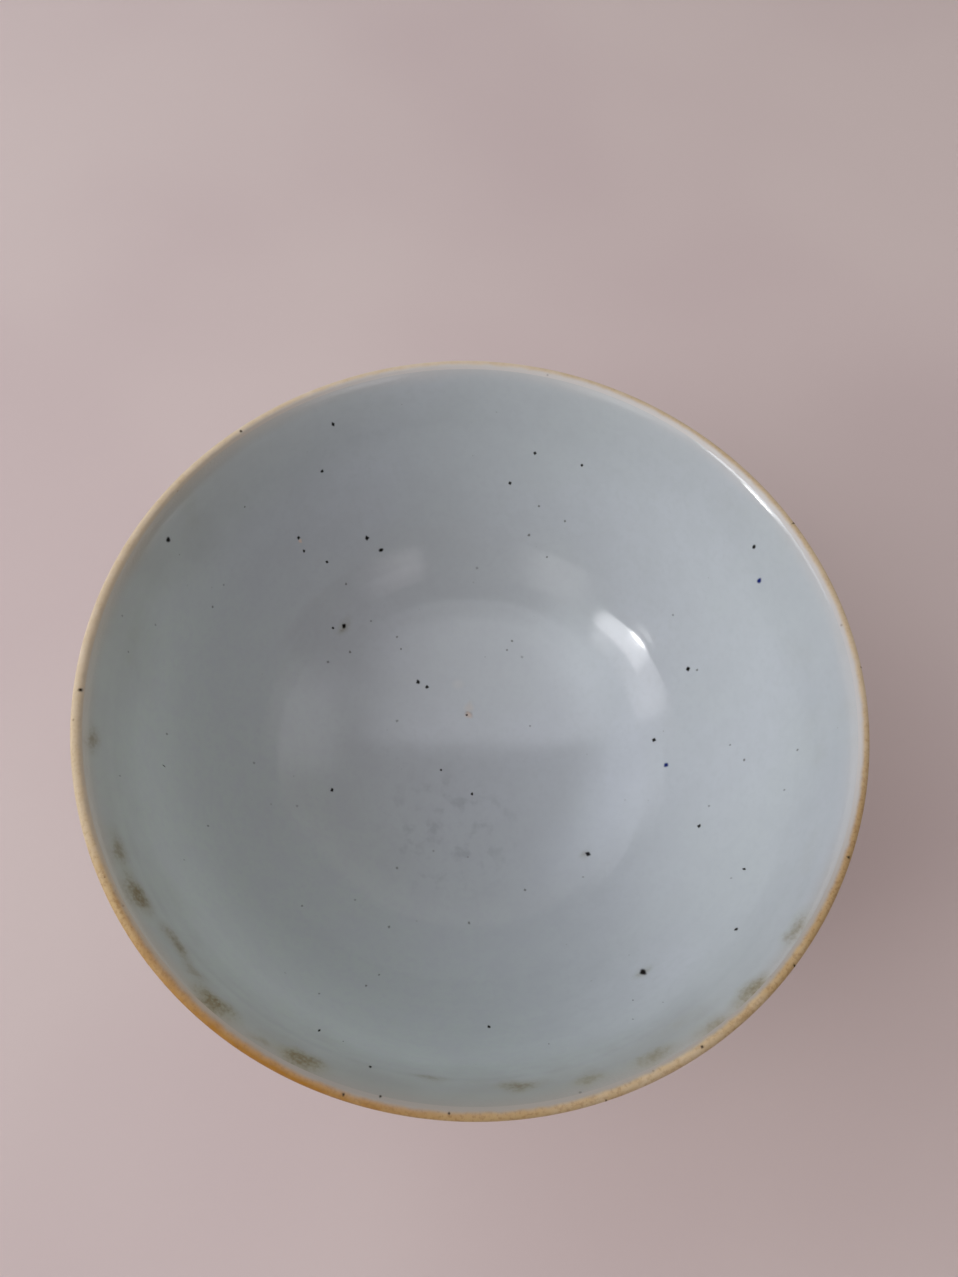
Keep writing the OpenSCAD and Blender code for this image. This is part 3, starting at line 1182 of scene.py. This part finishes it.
def makeFloor():
    half = floorFinish.size / 2
    mesh = bpy.data.meshes.new("floor")
    corners = [(-half, -half, 0), (half, -half, 0), (half, half, 0), (-half, half, 0)]
    mesh.from_pydata(corners, [], [(0, 1, 2, 3)])
    made = bpy.data.objects.new("floor", mesh)
    scene.collection.objects.link(made)
    material, tree, shader, place = newMaterial("floorFinish")
    soft = patchMask(tree, place, *floorFinish.shadeNoise)
    color = mixColor(tree, floorFinish.body, floorFinish.shade, soft)
    setInputs(tree, shader, {"Base Color": color, "Roughness": floorFinish.roughness})
    giveMaterial(made, material)


makeFloor()


# A place seen from the rim's centre at a turn from the right and a rise, in degrees, some metres away
def aloft(turn, rise, away):
    turn, rise = math.radians(turn), math.radians(rise)
    level = away * math.cos(rise)
    return level * math.cos(turn), level * math.sin(turn), away * math.sin(rise)


# Soft boxes: place of the middle from the rim's centre and size in metres, brightness, colour, the share
# of the width and height that fades at each side, half where none is given, and a roll in degrees;
# a fill leaves no reflection, a sheen is seen only as a reflection, and a level one faces straight down
softBoxes = {
    "window": dict(
        place=aloft(-156.5, 32.3, 0.9), size=(0.38, 0.26), soft=(0.12, 0.2, 0.06, 0.9),
        bright=8.0, color=(0.95, 0.96, 1.00), roll=33,
    ),
    "windowCore": dict(
        place=aloft(-158.8, 23.6, 0.89), size=(0.13, 0.09), soft=(0.35, 0.35, 0.3, 0.5),
        bright=45.0, color=(1.00, 1.00, 1.00), roll=15, sheen=True,
    ),
    "windowSide": dict(
        place=aloft(-175, 32, 0.91), size=(0.36, 0.33), soft=(0.25, 0.1, 0.08, 0.65),
        bright=2.75, color=(0.95, 0.95, 1.00),
    ),
    "windowGlow": dict(
        place=aloft(-160, 46, 0.92), size=(1.2, 0.8),
        bright=2.11, color=(0.86, 0.97, 1.00),
    ),
    "windowFill": dict(
        place=aloft(-178, 20, 0.94), size=(1.2, 0.5),
        bright=3.95, color=(0.99, 1.00, 0.97), fill=True,
    ),
    "overhead": dict(
        place=(-0.15, -0.37, 0.9), size=(2.0, 1.17), soft=(0.43, 0.43, 0.09, 0.45),
        bright=1.95, color=(0.89, 0.93, 1.00), level=True, sheen=True,
    ),
    "overheadFill": dict(
        place=(-0.15, -0.345, 0.96), size=(2.0, 1.17), soft=(0.43, 0.43, 0.28, 0.09),
        bright=0.82, color=(1.00, 0.90, 0.98), level=True, fill=True,
    ),
    "backLeft": dict(
        place=aloft(145, 38, 0.9), size=(1.3, 0.75),
        bright=1.94, color=(0.76, 0.83, 1.00),
    ),
    "backRight": dict(
        place=aloft(28, 13, 0.9), size=(1.2, 0.26),
        bright=4.07, color=(1.00, 0.99, 0.91), fill=True,
    ),
    "windowSpill": dict(
        place=aloft(-122, 28, 0.9), size=(0.6, 0.5),
        bright=1.7, color=(0.99, 0.99, 1.00), sheen=True,
    ),
    "rightGlow": dict(
        place=aloft(6, 36, 0.9), size=(0.75, 0.7), soft=(0.4, 0.4, 0.4, 0.4),
        bright=1.1, color=(0.92, 0.95, 1.00), sheen=True,
    ),
    "frontPane": dict(
        place=aloft(-58, 26, 0.9), size=(0.45, 0.34), soft=(0.2, 0.7, 0.7, 0.2),
        bright=1.5, color=(1.00, 0.94, 0.98), sheen=True,
    ),
    "frontLow": dict(
        place=aloft(-105, 13, 0.9), size=(1.2, 0.3), soft=(0.4, 0.4, 0.5, 0.5),
        bright=2.35, color=(0.91, 0.98, 1.00), fill=True,
    ),
}
worldLight = SimpleNamespace(
    back=(0.88, 0.88, 0.87),
    front=(0.143, 0.127, 0.114),
    backdrop=(0.56, 0.49, 0.475),
    behind=(-0.3, 0.5),
    low=(0.75, 0.25),
)


def makeSoftBox(
    name, place, size, bright, color, soft=(0.5,) * 4, roll=0, level=False, fill=False, sheen=False
):
    place = Vector(place)
    facing = Vector((0, 0, 1)) if level else place.normalized()
    data = bpy.data.lights.new(name, "AREA")
    data.shape = "RECTANGLE"
    data.size, data.size_y = size
    data.energy = bright * math.pi * data.size * data.size_y
    data.color = color
    data.use_nodes = True
    tree = data.node_tree
    spot = addNode(tree, "ShaderNodeNewGeometry").outputs["Parametric"]
    fade = 1.0
    for along, start, end in zip(axesOf(tree, spot), soft[::2], soft[1::2]):
        fade = times(tree, fade, smoothBetween(tree, along, 0.0, start))
        fade = times(tree, fade, smoothBetween(tree, along, 1.0, 1.0 - end))
    tree.links.new(fade, tree.nodes["Emission"].inputs["Strength"])
    made = bpy.data.objects.new(name, data)
    made.location = Vector((0, 0, rimZ * mm)) + place
    made.rotation_mode = "QUATERNION"
    turn = Quaternion((0, 0, 1), math.radians(roll))
    made.rotation_quaternion = facing.to_track_quat("Z", "Y") @ turn
    made.visible_glossy = not fill
    made.visible_diffuse = not sheen
    scene.collection.objects.link(made)


for name, values in softBoxes.items():
    makeSoftBox(name, **values)


# The room behind the bowl is lit, near the horizon, and the rest of it is dim; past the floor a plain
# backdrop shows
def makeWorld():
    made = bpy.data.worlds.new("studio")
    made.use_nodes = True
    tree = made.node_tree
    way = addNode(tree, "ShaderNodeTexCoord").outputs["Generated"]
    x, y, z = axesOf(tree, way)
    behind = smoothBetween(tree, y, *worldLight.behind)
    low = smoothBetween(tree, z, *worldLight.low)
    color = layColor(tree, worldLight.front, worldLight.back, behind, low)
    seen = addNode(tree, "ShaderNodeLightPath").outputs["Is Camera Ray"]
    color = mixColor(tree, color, worldLight.backdrop, seen)
    tree.links.new(color, tree.nodes["Background"].inputs["Color"])
    return made


scene.world = makeWorld()
scene.view_settings.view_transform = "Standard"
print("floor and lights in place")
